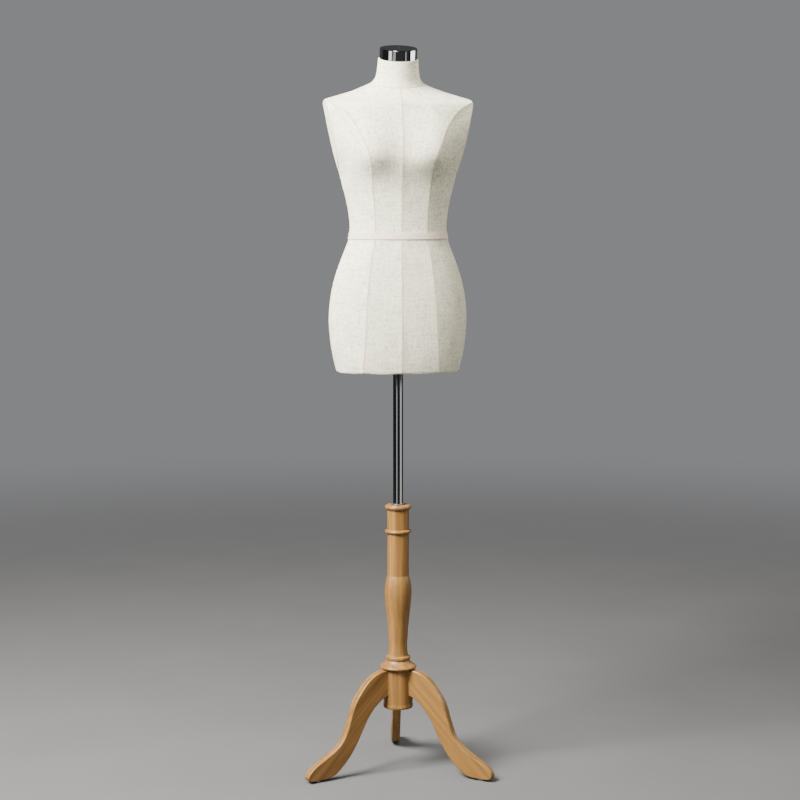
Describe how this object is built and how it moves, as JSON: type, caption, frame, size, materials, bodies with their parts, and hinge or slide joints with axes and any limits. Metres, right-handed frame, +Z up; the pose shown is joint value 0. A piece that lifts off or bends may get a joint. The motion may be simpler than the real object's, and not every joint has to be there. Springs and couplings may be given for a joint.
{
  "type": "dress form on a tripod stand",
  "caption": "Half-body linen dress form with a chrome neck cap, on a chrome height rod clamped in a turned wooden column with curved wooden legs.",
  "frame": {"origin": "on the floor, at the centre of the whole object's outline box; the upright axis of column, rod and form stands at x = +10 mm, y = -56 mm, because the third leg reaches further back than the other two reach forward", "axes": "+Z up along the rod; the form faces -Y, and its own left side is +X; the legs are turned 4.5 degrees from the form's front"},
  "size_m": [0.4754, 0.4304, 1.8328],
  "materials": {
    "beech": "clear satin lacquer",
    "plywood": "plain sanded wood",
    "chrome": "bright chrome plate",
    "zinc": "zinc-plated steel",
    "nylon_dark": "moulded nylon",
    "nylon_white": "turned nylon",
    "knob_black": "fine-textured moulding",
    "shell_resin": "glass-fibre laminate",
    "linen": "plain-weave slub linen over thin felt",
    "tape": "woven cotton tape, stitched at both edges",
    "linen_board": "board under glued linen"
  },
  "bodies": {
    "stand": {"column": "beech", "rod_bush": "nylon_dark", "lock_insert": "zinc", "leg_left": "beech", "leg_right": "beech", "leg_back": "beech", "hanger_bolts": "zinc", "hanger_washers": "zinc", "hanger_nuts": "zinc", "foot_glides": "chrome", "glide_pins": "zinc"},
    "lock_carrier": {"lock_pad": "nylon_white"},
    "lock_knob": {"lock_screw": "zinc", "lock_knob": "knob_black"},
    "rod": {"rod": "chrome", "rod_end_plug": "nylon_dark", "rod_top_plug": "nylon_dark"},
    "form": {"shell_front": "shell_resin", "shell_back": "shell_resin", "base_board": "plywood", "bottom_cover": "linen", "socket_flange": "zinc", "flange_screws": "zinc", "neck_block": "plywood", "neck_cap": "chrome", "cap_screw": "chrome", "neck_cover": "linen", "waist_tape": "tape", "arm_plate_left": "linen_board", "arm_plate_right": "linen_board", "bodice_front_left": "linen", "bodice_front_right": "linen", "bodice_side_front_left": "linen", "bodice_side_front_right": "linen", "bodice_side_back_left": "linen", "bodice_side_back_right": "linen", "bodice_back_left": "linen", "bodice_back_right": "linen", "skirt_front_left": "linen", "skirt_front_right": "linen", "skirt_side_front_left": "linen", "skirt_side_front_right": "linen", "skirt_side_back_left": "linen", "skirt_side_back_right": "linen", "skirt_back_left": "linen", "skirt_back_right": "linen"}
  },
  "joints": [
    {"name": "height_slide", "type": "slide", "parent": "stand", "child": "rod", "axis": [0, 0, 1], "range_m": [-0.2, 0.08]},
    {"name": "form_turn", "type": "hinge", "parent": "rod", "child": "form", "pos_m": [0.01, -0.056, 1.05], "axis": [0, 0, 1], "continuous": true},
    {"name": "lock_travel", "type": "slide", "parent": "stand", "child": "lock_carrier", "axis": [0.0785, 0.9969, 0], "range_m": [0, 0.0019]},
    {"name": "lock_turn", "type": "hinge", "parent": "lock_carrier", "child": "lock_knob", "pos_m": [0.01314, -0.01612, 0.645], "axis": [0.0785, 0.9969, 0], "range_deg": [0, 540]}
  ],
  "couplings": [
    {"joint": "lock_travel", "follows": "lock_turn", "m_per_rad": 0.00019894}
  ]
}
